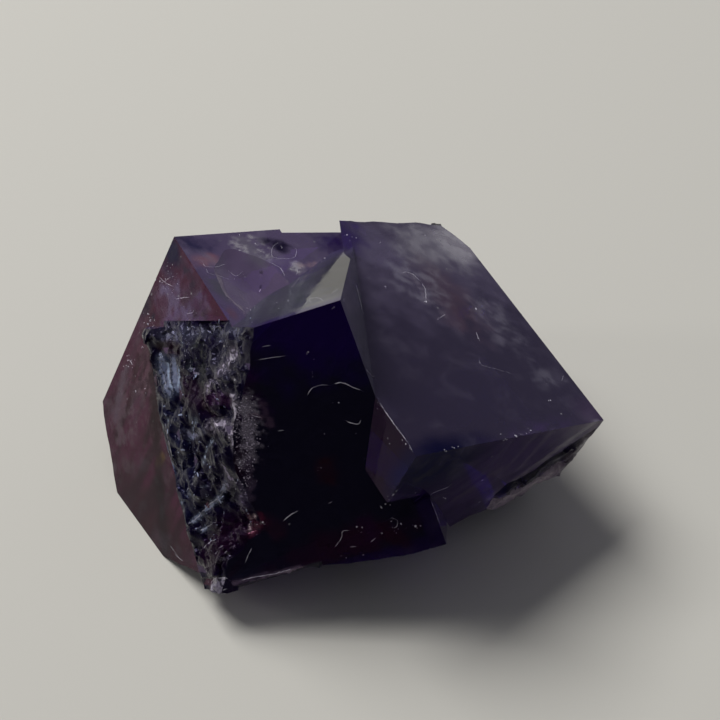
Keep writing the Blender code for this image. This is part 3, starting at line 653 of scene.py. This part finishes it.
def addHairs(tree, place, turn, spacing, share):
    turned = addNode(tree, "VectorRotate", {"Vector": place, "Rotation": turn}, rotation_type="EULER_XYZ")
    scale, reach = hairShape["bend"]
    bent = addNoise(tree, turned.outputs[0], scale, 1.0)
    moved = addNode(tree, "VectorMath", {0: bent.outputs["Color"], "Scale": reach}, operation="SCALE")
    both = addNode(tree, "VectorMath", {0: turned.outputs[0], 1: moved.outputs[0]}, operation="ADD")
    long = addNode(tree, "VectorMath", {0: both.outputs[0], 1: hairShape["length"]}, operation="MULTIPLY")
    cells = addNode(tree, "TexVoronoi", {"Vector": long.outputs[0], "Scale": 1.0 / spacing})
    split = addNode(tree, "SeparateColor", {0: cells.outputs["Color"]})
    inside = addRange(tree, cells.outputs["Distance"], *hairShape["width"])
    return addMath(tree, "MULTIPLY", inside, addMath(tree, "LESS_THAN", split.outputs["Red"], share))


# places on the crystal in mm along the host cube's edges
def addHostCoords(tree):
    place = addNode(tree, "TexCoord").outputs["Object"]
    node = addNode(tree, "Mapping", {
        "Vector": place, "Location": toWorld.translation * mm,
        "Rotation": toWorld.to_3x3().to_euler("XYZ"), "Scale": (mm, mm, mm)}, vector_type="TEXTURE")
    return node.outputs[0]


clearLook = {
    "ior": 1.434, "specular": 0.3, "transmission": 0.7,
    "absorb": (0.40, 0.115, 0.655, 1.0), "density": 200.0,
    "veil": (0.55, 0.48, 0.66, 1.0), "veilFrom": 0.48, "veilFull": 0.75, "veilSize": 0.22,
    "dust": (1.9, 0.07, 0.5),      # spacing in mm, size, share
    "dustColour": (0.95, 0.93, 1.0, 1.0), "dustStrength": 0.6,
    "hairs": (((0, 0, 0.6), 1.3, 0.4), ((0, 0.2, -0.7), 1.7, 0.4)),      # turn, spacing in mm, share
    "hairColour": (0.7, 0.68, 0.8, 1.0), "hairStrength": 0.25, "hairRough": 0.3,
    "shineHue": 0.85, "shineFrom": (0.02, 0.06), "shineFull": (0.18, 1.0),
    "smoothest": 0.03, "dullest": 0.13, "brokenRough": 0.06,
    "growth": (0.12, 1.6, 0.12), "crumbSize": 3.0, "crumbDepth": 1.5,
    "bumpStrength": 0.25, "bumpDepth": 0.00002,
}


def makeClear():
    material, tree, surface = newMaterial("fluoriteClear")
    host = addHostCoords(tree)
    ground = addNode(tree, "Attribute", attribute_name="ground")
    broken = addNode(tree, "Attribute", attribute_name="rough").outputs["Fac"]
    flat = addMath(tree, "SUBTRACT", 1.0, broken)
    colour = ground.outputs["Color"]
    # veils: pale clouds, dust and fine scratches
    cloud = addNoise(tree, host, clearLook["veilSize"], 4.0, Roughness=0.6, Distortion=0.4)
    veil = addNode(tree, "Attribute", attribute_name="veil").outputs["Fac"]
    clouds = addRange(tree, cloud.outputs["Fac"], clearLook["veilFrom"], clearLook["veilFull"])
    colour = addMix(tree, addMath(tree, "MULTIPLY", clouds, veil), colour, clearLook["veil"])
    dots = addMath(tree, "MULTIPLY", addDust(tree, host, *clearLook["dust"]), clearLook["dustStrength"])
    colour = addMix(tree, dots, colour, clearLook["dustColour"])
    hairs = [addHairs(tree, host, *hair) for hair in clearLook["hairs"]]
    lines = addMath(tree, "MULTIPLY", addMath(tree, "MAXIMUM", *hairs), flat)
    faint = addMath(tree, "MULTIPLY", lines, clearLook["hairStrength"])
    colour = addMix(tree, faint, colour, clearLook["hairColour"])
    # the shine takes the colour's hue, and darkens with it
    (dark, dim), (light, full) = clearLook["shineFrom"], clearLook["shineFull"]
    hue = addNode(tree, "SeparateColor", {0: colour}, mode="HSV")
    tinge = addNode(tree, "CombineColor", {
        "Red": hue.outputs["Red"],
        "Green": addMath(tree, "MULTIPLY", hue.outputs["Green"], clearLook["shineHue"]),
        "Blue": addRange(tree, hue.outputs["Blue"], dark, light, dim, full, smooth=False)}, mode="HSV")
    smudge = addNoise(tree, host, 0.3, 2.0)
    rough = addRange(tree, smudge.outputs["Fac"], 0.4, 0.75, clearLook["smoothest"], clearLook["dullest"])
    rough = addMath(tree, "MULTIPLY_ADD", lines, clearLook["hairRough"], rough)
    rough = addMath(tree, "MULTIPLY_ADD", broken, clearLook["brokenRough"], rough)
    # relief: growth lines along the cube edges, and crumbs on the breaks
    fine = addNode(tree, "Mapping", {"Vector": host, "Scale": clearLook["growth"]})
    growth = addNoise(tree, fine.outputs[0], 1.0, 2.0)
    crumbs = addNoise(tree, host, clearLook["crumbSize"], 1.0)
    height = addMath(tree, "MULTIPLY", crumbs.outputs["Fac"], broken)
    height = addMath(tree, "MULTIPLY_ADD", height, clearLook["crumbDepth"], growth.outputs["Fac"])
    bump = addNode(tree, "Bump", {"Height": height, "Strength": clearLook["bumpStrength"],
                                  "Distance": clearLook["bumpDepth"]})
    setInputs(tree, surface, {
        "IOR": clearLook["ior"], "Specular IOR Level": clearLook["specular"],
        "Transmission Weight": clearLook["transmission"], "Base Color": colour,
        "Specular Tint": tinge.outputs[0], "Roughness": rough, "Normal": bump.outputs[0]})
    absorb = addNode(tree, "VolumeAbsorption", {"Color": clearLook["absorb"], "Density": clearLook["density"]})
    setInputs(tree, tree.nodes["Material Output"], {"Volume": absorb.outputs[0]})
    return material


frostLook = {
    "grit": 4.0, "shade": (0.35, 0.65, 0.35, 1.0), "dark": (0.02, 0.014, 0.05, 1.0), "darkness": 0.85,
    "roughness": (0.3, 0.7, 0.45, 0.2), "bumpStrength": 0.6, "bumpDepth": 0.00006,
}
# the finishes' own colours; fluoriteGlints is the colour of the painted glints
frostAndGlintColours = {
    "fluoriteBright": (0.80, 0.76, 0.86, 1.0),
    "fluoriteCrumbs": (0.46, 0.40, 0.50, 1.0),
    "fluoriteGlints": (0.30, 0.34, 0.50, 1.0),
}


# frosty breaks, painted glints and the band's painted highlights: its own colour, or the one painted on the
# crystal
def makeFrostAndGlint(name):
    material, tree, surface = newMaterial(name)
    host = addHostCoords(tree)
    colour = frostAndGlintColours.get(name)
    if colour is None:
        colour = addNode(tree, "Attribute", attribute_name="ground").outputs["Color"]
    grit = addNoise(tree, host, frostLook["grit"], 4.0, Roughness=0.6)
    shade = addRange(tree, grit.outputs["Fac"], *frostLook["shade"])
    dark = addMix(tree, frostLook["darkness"], colour, frostLook["dark"])
    bump = addNode(tree, "Bump", {"Height": grit.outputs["Fac"], "Strength": frostLook["bumpStrength"],
                                  "Distance": frostLook["bumpDepth"]})
    setInputs(tree, surface, {
        "IOR": clearLook["ior"], "Base Color": addMix(tree, shade, dark, colour),
        "Roughness": addRange(tree, grit.outputs["Fac"], *frostLook["roughness"]),
        "Normal": bump.outputs[0]})
    return material


# bright scratches, cracks and chipped lines: thickness and points in mm along the host cube's edges
scratchLines = (
    (0.16, (-3.5, 11, -1), (-2.7, 10.6, -0.2), (-1.9, 9.8, -0.1), (-0.8, 8.8, 0)),
    (0.07, (-5.1, 11.5, -3.1), (-4.8, 11.8, -2.1), (-4.2, 11.5, -1.3), (-3.5, 11, -0.9)),
    (0.15, (-2.1, 8.3, -3.5), (-1.6, 7.8, -3.4), (-1, 7.3, -3.2), (-0.8, 7.5, -2.6)),
    (0.12, (-5.7, 5.8, -15.7), (-5.2, 5.8, -14.8), (-4.6, 5.6, -13.9)),
    (0.06, (-9.3, 16.3, -1.9), (-8.2, 15.6, -1), (-6.9, 14.8, 0)),
    (0.05, (-8.9, 16.7, -0.4), (-8.2, 16.2, 0.2)),
    (0.06, (-2.5, 4.5, -12.1), (-2.1, 4.3, -11.5)),
    (0.09, (-9.1, 13.6, -7.1), (-8.2, 12.7, -6.8)),
    (0.06, (-7, 11.3, -7.4), (-6.4, 10.9, -6.9)),
    (0.08, (-1.6, 1.5, -16.1), (-1.1, 1.7, -14.8), (-1, 2, -13.9), (-0.3, 1.6, -13.4)),
    (0.06, (1.2, -0.1, -13.8), (1.6, -0.1, -13.1)),
    (0.07, (-0.4, 0.8, -15.2), (0.2, 0.4, -14.8)),
    (0.05, (2.1, 0.3, -11), (2.6, 0.2, -10.5), (3, -0.3, -10.5), (3, -0.6, -11.2), (2.4, -0.2, -11.5)),
    # the bright line along the right block's top left edge is partly edge wear and partly a painted highlight
    (0.12, (0.2, 7.8, 0), (0, 6.9, 0), (0, 4.7, 0), (0.1, 2.3, 0), (0.1, 0.5, 0)),
    (0.08, (-1.1, 10.1, 2.1), (1.7, 10.6, 0)),
    (0.1, (6.2, 22.7, 1.2), (5.9, 21, 0.6), (5.6, 19.2, 0)),
    (0.09, (14.2, 24.4, 0), (15.3, 24.5, 0), (15.9, 24, 0), (16.2, 22.9, 0)),
    (0.1, (16.2, 22.9, 0), (16, 21.6, 0), (14.8, 19.7, 0)),
    (0.07, (14.3, 29.2, 0), (14.8, 29.5, 0)),
    (0.1, (15, 17.2, 0), (16.2, 17.7, 0)),
    (0.09, (18.7, 14.7, 0), (18.3, 13.7, 0)),
    (0.05, (16.8, 11.5, 0), (16, 10.1, 0), (17.1, 9.4, 0), (19.6, 8, 0)),
    (0.05, (25.1, 6, 0), (26.2, 6.9, 0)),
    (0.11, (5.3, -0.7, -7.1), (6.1, -1.5, -8.2), (6.8, -2.7, -9.6)),
    (0.09, (5.8, -0.2, -7.3), (6.8, 0, -7), (8.4, 0, -6.6)),
    (0.06, (-4.3, 17.6, 4.2), (-3.1, 19.1, 3.3), (-2.9, 18.3, 4.1), (-3.7, 16.6, 5.4)),
    (0.05, (-4.5, 18.1, 3.6), (-3.1, 19.1, 3.2)),
    (0.09, (-2, 18, 4.9), (-1.1, 18.1, 5.2), (-0.9, 17.8, 5.7)),
    (0.09, (-8, 30.7, -1.8), (-8, 29.8, -1.8), (-6.6, 29.6, -1.9), (-5.3, 30.1, -2.1), (-4.9, 29.9, -2.2)),
    (0.06, (-5.2, 29.4, -2.3), (-4.6, 28.5, -2.4), (-3.3, 29.1, -2.3)),
    (0.06, (-8, 29.8, -1.8), (-8.1, 28.7, -1.8), (-7, 28.4, -2), (-5.4, 28, -2.4)),
    (0.07, (4, 32, -1.8), (4.7, 31.2, -1.8), (3.7, 30, -1.8), (2.1, 29.9, -1.8), (1, 30.4, -1.8),
     (1.9, 31.8, -1.8), (3.3, 32.4, -1.8), (4, 32, -1.8)),
    (0.09, (-0.1, 29.9, -1.8), (0.5, 29.2, -1.8), (1, 28.4, -1.8), (0.7, 26.6, -1.8)),
    (0.07, (3.1, 28.2, -1.8), (2.4, 27.2, -1.8)),
    (0.11, (-9.9, 15.8, -22.8), (-9.7, 15.8, -21), (-9.7, 13.8, -18.5)),
    (0.12, (-9.1, 11.9, -16.1), (-9.2, 12, -18), (-9.4, 12.6, -20.1), (-9.9, 13.1, -23.4),
     (-9.4, 13.9, -25.6)),
    (0.1, (-8.9, 10.2, -20.1), (-9.4, 11.2, -22.1), (-9.7, 11.8, -23.5), (-9.9, 12.2, -25)),
    (0.1, (-9.8, 9.8, -25.4), (-9.6, 10.1, -24), (-9.4, 9.6, -22.5), (-9.2, 8.8, -21.3)),
    (0.08, (-9.8, 8.1, -23.1), (-9.4, 8.2, -21.9), (-9.1, 7.9, -21.2)),
    (0.08, (-9.8, 7.3, -23.2), (-9.4, 7.4, -21.8), (-9, 7.2, -21.2)),
    (0.1, (-7.8, 6, -19.6), (-8.1, 5.7, -20.6), (-8.2, 5.5, -21.5)),
    (0.12, (-9.7, 6.2, -26.9), (-9.4, 7.2, -26.7), (-9.9, 6.5, -24.9), (-9.6, 5.6, -23.8), (-9.1, 5, -24)),
    (0.07, (-9.6, 5.7, -26), (-9.3, 4.9, -24.7)),
    (0.12, (-8.8, 4.9, -23.7), (-7.3, 4.1, -22.4), (-5.7, 3.1, -21), (-4, 2.3, -19.3)),
    (0.07, (-9.4, 14, -30.1), (-9.4, 12, -29.2)),
    (0.06, (-9.4, 14.9, -29.9), (-9.4, 13.1, -29.6)),
    (0.1, (-9.4, 27.9, -6.8), (-9.4, 26.9, -5.6)),
    (0.09, (-9.4, 30.4, -7), (-9.4, 28.4, -4.8)),
    (0.08, (-9.4, 34.3, -7.4), (-9.4, 32.7, -6.9), (-9.4, 31.3, -6.1)),
    (0.07, (-9.4, 33.4, -7.7), (-9.4, 32.3, -5.5)),
    (0.08, (-9.4, 25.9, -9.5), (-9.7, 24.6, -10.4), (-9.5, 23.5, -13.2)),
    (0.07, (-9.3, 25.6, -8.9), (-9.5, 24, -10.5), (-9.5, 22.9, -13)),
    (0.06, (-9.4, 26.6, -11.4), (-9.4, 25.3, -13), (-9.6, 23.6, -14.3)),
    (0.06, (-9.5, 27.5, -12.4), (-9.4, 26.4, -14.1), (-9.9, 24.1, -15.1)),
    (0.06, (-9.6, 28.4, -13.7), (-9.5, 27.3, -15.1), (-10, 24.6, -15.8)),
    (0.06, (-9.8, 28.8, -15.1), (-9.7, 27.3, -16.4), (-9.8, 24.3, -17.9), (-9.9, 20.5, -20.2),
     (-9.7, 18.2, -22.6)),
    (0.09, (-9.4, 33.5, -19.3), (-9.4, 32, -19.1)),
)

# bright dots: size, how far they scatter, how many, and places, the same way
chipDots = (
    (0.1, 0.16, 3, (-5.5, 14, 1), (-4.9, 12.6, -0.6), (-3.1, 9.9, -2.4), (-3.4, 8.6, -5.6), (-3.5, 6.9, -9.3),
     (-0.9, 0.7, -16.4), (0.9, -0.4, -15.4), (-3.9, 15, 6.2), (-7.2, 6.9, -16.7), (-7.1, 6.7, -16.8)),
    (0.13, 0.16, 3, (10.6, 30, 0), (11.3, 30.6, 0), (10.8, 31, 0), (10.8, 22.7, 0), (15.9, 24, 0),
     (16, 21.5, 0), (14.9, 19.8, 0), (15, 17.2, 0), (21, 17.9, 0), (18.3, 13.7, 0), (21.7, 3.8, 0),
     (22.9, 6.1, 0)),
    (0.15, 0.16, 3, (3.8, 0.1, 0), (5.1, 0.1, 0), (5.6, 0, -0.6), (4, 0, -0.1), (12, 0, -0.2), (12.1, 0, 0),
     (13.7, 0.1, 0), (14.5, 0.2, 0), (15.3, 0.2, 0), (15.8, 0.3, 0)),
    (0.1, 0.16, 3, (13.2, 0, -6.8), (8.8, 0, -8.7), (15, 0, -10.9), (0, 4, -1.9)),
    (0.14, 0.16, 3, (2.5, 0, -10.8), (3, -0.5, -10.8), (2.9, -0.7, -11.6), (4.2, -1.4, -10.2),
     (4.4, -1.6, -10.2), (0.4, 1.2, -12.7), (0.4, 1, -13.2), (1.7, 1.3, -10), (1.9, 1.3, -9.4), (0.1, 0, -6.7),
     (0.2, 0, -5.9), (0.3, 0, -5.4)),
    (0.13, 0.16, 3, (-4.2, 22.2, -0.3), (-3.5, 21.2, 0.9), (-5.2, 20.2, 1.1), (-5.8, 23.8, -2.4),
     (-5.1, 23.5, -2.1), (-0.9, 18.4, 5.1), (-1.4, 17.9, 5.4)),
    (0.12, 0.16, 3, (-8.7, 26, -7.4), (-8.7, 21.9, -4), (-9.4, 31.9, -16), (-9.4, 32.8, -19.1),
     (-9.4, 32.8, -19.9), (-9.4, 31.3, -20.1), (-9.4, 29, -18.6), (-9.4, 28.5, -19.7), (-9.4, 30.1, -21.1)),
    (0.12, 0.16, 3, (-5, 28.1, -2.4), (-3.5, 28.3, -2.4), (-1.6, 33.9, -1.8), (-2.5, 31.6, -1.8),
     (0, 32.6, -1.8), (7.5, 29.4, -1.7), (3, 31.8, -1.8), (6.4, 28.5, -1.4)),
    (0.16, 0.16, 3, (-9.4, 33.7, -7.6), (-9.4, 33, -6.6), (-9.4, 32.1, -6.3), (-9.4, 32.8, -7.8),
     (-9.4, 33.2, -12.1), (-9.4, 32.5, -12.3), (-9.4, 32.7, -13.1), (-9.4, 31.8, -12.6)),
    (0.12, 0.16, 3, (-9.5, 11.4, -12.2), (-9.5, 11.5, -12), (-9.5, 7.6, -26.8), (-9.7, 6.2, -26.7),
     (-9.5, 5, -24.9), (5.5, -3.4, -12.2), (5.9, -3.6, -11.7), (6.2, -3.7, -11.4)),
    (0.1, 0.16, 3, (0, 2.4, -0.3), (0, 1.8, -0.2), (0, 1.1, -0.1), (0, 0.7, 0), (0, 3.7, -0.2),
     (0, 6.8, -0.1)),
)

# paler crumbs of the crust on the broken band
crustCrumbs = (
    (0.14, 0.24, 26, (-9.8, 14.9, -5.8), (-9.5, 14.3, -6.3), (-9.5, 14, -7), (-9.2, 13.5, -7.4),
     (-9.3, 13.1, -8.2), (-8.9, 12.5, -8.7), (-9.2, 12.4, -9.6), (-8.9, 11.9, -10.1), (-9.3, 11.9, -10.8),
     (-10, 14.7, -6.6), (-10, 14.2, -7.6), (-9.7, 13.6, -8.2), (-9.8, 13.1, -9.3), (-9, 11.5, -10.9),
     (-9, 13, -7.9), (-8.8, 12, -9.4), (-9.2, 11.3, -11.7), (-8.7, 10.6, -12), (-8.8, 10.2, -13.1),
     (-9.1, 10.1, -13.9), (-10, 12.9, -10), (-10.3, 13.5, -9.8)),
    (0.11, 0.3, 9, (-9.5, 19, -4.6), (-9.5, 18.2, -4.8), (-9.7, 18.5, -5.7), (-9.9, 18.7, -6.9),
     (-9.8, 18.7, -8.2), (-9.8, 17.9, -6.8), (-9.7, 17.5, -5.6), (-9.7, 16.3, -6.3), (-9.6, 19.3, -5.8),
     (-9.7, 18.7, -9), (-9.3, 19.9, -4.4), (-9.8, 19.2, -9.5)),
    (0.08, 0.22, 6, (-9.8, 19.4, -14.1), (-9.8, 18.9, -12.6), (-9.8, 17.4, -12.5), (-9.6, 19.8, -16.3),
     (-9.8, 17.5, -15.4), (-9.4, 18.2, -17.9), (-9.7, 16.3, -15), (-9.7, 14.9, -14.8), (-9.4, 18.2, -20.3),
     (-9.3, 16.3, -18.7), (-9.6, 13.7, -14.4), (-9.5, 12.4, -14.3), (-9.7, 14.3, -18.2), (-9.6, 13.2, -16.4),
     (-9.7, 16.9, -22), (-9.6, 16.1, -20.3)),
)
# painted glints: small pale shards strewn on the broken band stand for its glints; size, how far they scatter,
# how many, and places
bandGlints = (
    (0.22, 1.1, 16, (-9.7, 19.5, -14.5), (-9.7, 17.5, -15.5), (-9.7, 21, -15.5), (-9.6, 16, -18.5),
     (-9.7, 19, -18)),
    (0.2, 0.9, 12, (-9.6, 14, -20), (-9.4, 11.5, -18.5), (-9.5, 12.5, -22.5), (-9.4, 10, -22),
     (-9.6, 15, -16.5)),
    (0.16, 0.8, 8, (-9.5, 23, -6.5), (-9.4, 21, -4), (-9.6, 22.5, -10.5), (-9.5, 26.5, -8.5)),
    (0.16, 0.5, 6, (-9.7, 24.5, -17.5), (-9.8, 22, -18.8), (-9.6, 8.8, -23), (-8.2, 7.6, -17.6)),
)
# on the left side, pale shards that are partly white specks and partly painted sparkles: size, how far they
# scatter, how many, and places
leftGlints = (
    (0.13, 0.45, 9, (-9.4, 33.6, -6.7), (-9.4, 32.7, -6.3), (-9.4, 32.1, -5.4), (-9.4, 32.6, -7),
     (-9.4, 33.3, -7.4)),
    (0.12, 0.35, 8, (-9.4, 32.6, -12.5), (-9.4, 32, -12.4), (-9.4, 32.6, -13.2)),
    (0.13, 0.35, 8, (-9.4, 33.3, -19.5), (-9.4, 32.7, -19.2), (-9.4, 32.8, -19.9), (-9.4, 33.1, -19)),
    (0.08, 0.4, 5, (-9.4, 30.3, -6.8), (-9.4, 29.3, -5.6), (-9.4, 27.7, -6.5), (-9.4, 27.1, -5.6)),
    (0.06, 0.9, 6, (-9.4, 29, -8.5), (-9.4, 30.5, -22), (-9.4, 31.5, -25), (-9.4, 28, -18.5), (-9.4, 27, -27)),
)


# the raised lines: point spacing, how far they wander, how deep they sink, and their thinnest part
lineLook = {"seed": 5, "spacing": 0.22, "wander": 0.04, "sink": 0.1, "radius": 0.33, "thin": 0.45, "tip": 0.12}


def onCrystal(crystal, place):
    return crystal.closest_point_on_mesh(place * mm)[1:3]      # the spot and its normal


def smoothPath(points, spacing):
    ends = [2 * points[0] - points[1], *points, 2 * points[-1] - points[-2]]
    path = []
    for before, first, last, after in zip(ends, ends[1:], ends[2:], ends[3:]):
        steps = max(2, int((last - first).length / spacing))
        for share in (step / steps for step in range(steps)):
            path.append(0.5 * (2 * first + (last - before) * share
                               + (2 * before - 5 * first + 4 * last - after) * share ** 2
                               + (3 * first - before - 3 * last + after) * share ** 3))
    return path + [points[-1]]


def makeScratchLines(crystal):
    lines = bpy.data.curves.new("scratchLines", "CURVE")
    lines.dimensions = "3D"
    lines.bevel_depth = mm
    lines.bevel_resolution = 1
    pick = random.Random(lineLook["seed"])
    for width, *points in scratchLines:
        path = smoothPath([Vector(point) for point in points], lineLook["spacing"])
        spline = lines.splines.new("POLY")
        spline.points.add(len(path) - 1)
        for index, point in enumerate(path):
            wander = Vector([pick.uniform(-lineLook["wander"], lineLook["wander"]) for axis in range(3)])
            spot, normal = onCrystal(crystal, toWorld @ (point + wander))
            share = index / (len(path) - 1)
            taper = (1.0 - abs(2.0 * share - 1.0) ** 3) * pick.uniform(lineLook["thin"], 1.0)
            spline.points[index].co = (*(spot - normal * width * lineLook["sink"] * mm), 1.0)
            spline.points[index].radius = lineLook["radius"] * width * max(lineLook["tip"], taper)
    piece = bpy.data.objects.new("scratchLines", lines)
    bpy.context.scene.collection.objects.link(piece)
    makeActive(piece)
    bpy.ops.object.convert(target="MESH")
    return bpy.context.object


# a shard: flattened and knobbly, many small and a few large, and smaller round each one
shardLook = {"radius": 0.5, "knobs": (3.0, 0.5), "flat": 0.45, "least": 0.3, "most": 1.5, "skew": 3,
             "around": 0.6, "shortest": 0.8}
# each piece's places, seed of its scatter, longest stretch and material
chipPieces = {
    "chipDots": (chipDots, 11, 1.8, "fluoriteBright"),
    "crustCrumbs": (crustCrumbs, 13, 1.8, "fluoriteCrumbs"),
    "bandGlints": (bandGlints, 17, 4.0, "fluoriteGlints"),
    "leftGlints": (leftGlints, 19, 1.8, "fluoriteBright"),
}


def makeChips(name, crystal):
    table, seed, longest = chipPieces[name][:3]
    pick = random.Random(seed)
    bpy.ops.mesh.primitive_ico_sphere_add(subdivisions=1, radius=shardLook["radius"] * mm, location=(0, 0, 0))
    shard = bpy.context.object
    scale, height = shardLook["knobs"]
    for vertex in shard.data.vertices:
        vertex.co *= 1.0 + height * noise.noise(vertex.co / mm * scale)
        vertex.co.z *= shardLook["flat"]
    shards = []
    for size, spread, count, *places in table:
        for place in places:
            for extra in range(count):
                shift = Vector([pick.gauss(0.0, spread * min(extra, 2)) for axis in range(3)])
                spot, normal = onCrystal(crystal, toWorld @ (Vector(place) + shift))
                one = shard.copy()
                one.data = shard.data.copy()
                bpy.context.scene.collection.objects.link(one)
                wide = size * (shardLook["least"] + shardLook["most"] * pick.random() ** shardLook["skew"])
                wide *= 1.0 if extra == 0 else shardLook["around"]
                spin = Matrix.Rotation(pick.uniform(0, 6.28), 3, "Z")
                turn = normal.to_track_quat("Z", "Y").to_matrix() @ spin
                stretch = Matrix.Diagonal((wide * pick.uniform(shardLook["shortest"], longest), wide, wide))
                one.matrix_world = Matrix.Translation(spot) @ (turn @ stretch).to_4x4()
                shards.append(one)
    bpy.data.objects.remove(shard)
    makeActive(*shards)
    bpy.ops.object.join()
    piece = bpy.context.object
    piece.name = name
    bpy.ops.object.transform_apply(location=True, rotation=True, scale=True)
    return piece


crystal = makeCrystal()
crystal.data.materials.append(makeClear())
# the painted breaks: crust frost, and the band's painted highlights and reflection
crystal.data.materials.append(makeFrostAndGlint("fluoriteFrostAndHighlights"))      # the painted breaks
paintCrystal(crystal)
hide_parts("fluorite_crystal")
frostAndGlintFinishes = {name: makeFrostAndGlint(name) for name in frostAndGlintColours}
details = [(makeScratchLines(crystal), "fluoriteBright")]
details += [(makeChips(name, crystal), chipPieces[name][3]) for name in chipPieces]
for piece, finish in details:
    piece.data.materials.clear()
    piece.data.materials.append(frostAndGlintFinishes[finish])
    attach(piece, "root")
    print(piece.name, len(piece.data.polygons), "faces")
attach(crystal, "root")
print("crystal ready:", len(crystal.data.polygons), "faces")

bpy.context.scene.view_settings.view_transform = "Standard"
